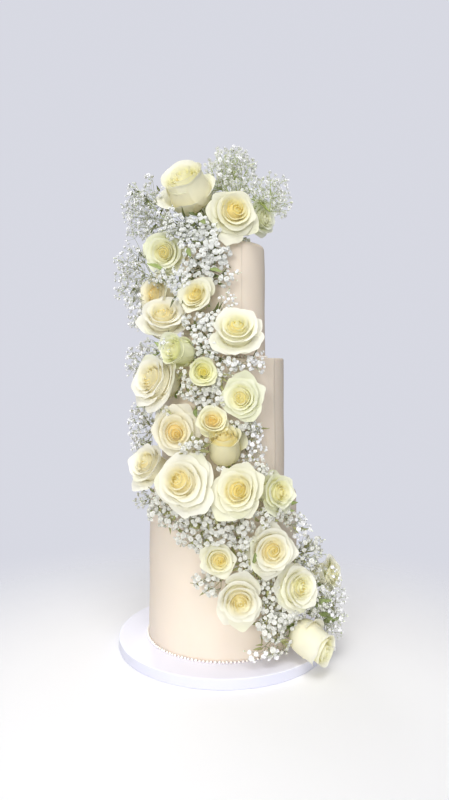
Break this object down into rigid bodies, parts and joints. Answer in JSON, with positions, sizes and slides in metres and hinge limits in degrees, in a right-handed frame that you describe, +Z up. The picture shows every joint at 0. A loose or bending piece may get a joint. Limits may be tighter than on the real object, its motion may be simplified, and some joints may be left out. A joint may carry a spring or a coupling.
{
  "type": "tiered wedding cake",
  "caption": "Tall stacked wedding cake with smooth ivory icing and pearl borders on a round drum, with cream roses and white gypsophila winding down its side.",
  "frame": {"origin": "centre of the drum's underside, on the axis of the tiers", "axes": "+Z up along the axis of the tiers, -Y the front that the flowers wind down, +X to the right seen from the front"},
  "size_m": [0.2746, 0.2626, 0.6136],
  "materials": {
    "fondant": "smooth matt peach-ivory sugar paste with a faint wrap seam",
    "pearls": "small piped pearls with a soft sheen",
    "drum_foil": "white satin foil paper over board",
    "rose_petal": "soft fresh petals, cream to lemon, peach and pale green",
    "gypsophila": "tiny white double florets on fine green stems"
  },
  "bodies": {
    "root": {"cake_drum": "drum_foil", "gypsophila_01": "gypsophila", "gypsophila_02": "gypsophila", "gypsophila_03": "gypsophila", "gypsophila_04": "gypsophila", "gypsophila_05": "gypsophila", "gypsophila_06": "gypsophila", "gypsophila_07": "gypsophila", "gypsophila_08": "gypsophila", "gypsophila_09": "gypsophila", "gypsophila_10": "gypsophila", "gypsophila_11": "gypsophila", "gypsophila_12": "gypsophila", "gypsophila_13": "gypsophila", "gypsophila_14": "gypsophila", "gypsophila_15": "gypsophila", "gypsophila_16": "gypsophila", "gypsophila_17": "gypsophila", "gypsophila_18": "gypsophila", "gypsophila_19": "gypsophila", "gypsophila_20": "gypsophila", "gypsophila_21": "gypsophila", "gypsophila_22": "gypsophila", "pearls_bottom": "pearls", "pearls_middle": "pearls", "pearls_top": "pearls", "rose_01": "rose_petal", "rose_02": "rose_petal", "rose_03": "rose_petal", "rose_04": "rose_petal", "rose_05": "rose_petal", "rose_06": "rose_petal", "rose_07": "rose_petal", "rose_08": "rose_petal", "rose_09": "rose_petal", "rose_10": "rose_petal", "rose_11": "rose_petal", "rose_12": "rose_petal", "rose_13": "rose_petal", "rose_14": "rose_petal", "rose_15": "rose_petal", "rose_16": "rose_petal", "rose_17": "rose_petal", "rose_18": "rose_petal", "rose_19": "rose_petal", "rose_20": "rose_petal", "rose_21": "rose_petal", "rose_22": "rose_petal", "rose_23": "rose_petal", "rose_24": "rose_petal", "rose_25": "rose_petal", "rose_26": "rose_petal", "tier_bottom": "fondant", "tier_middle": "fondant", "tier_top": "fondant"}
  },
  "joints": []
}
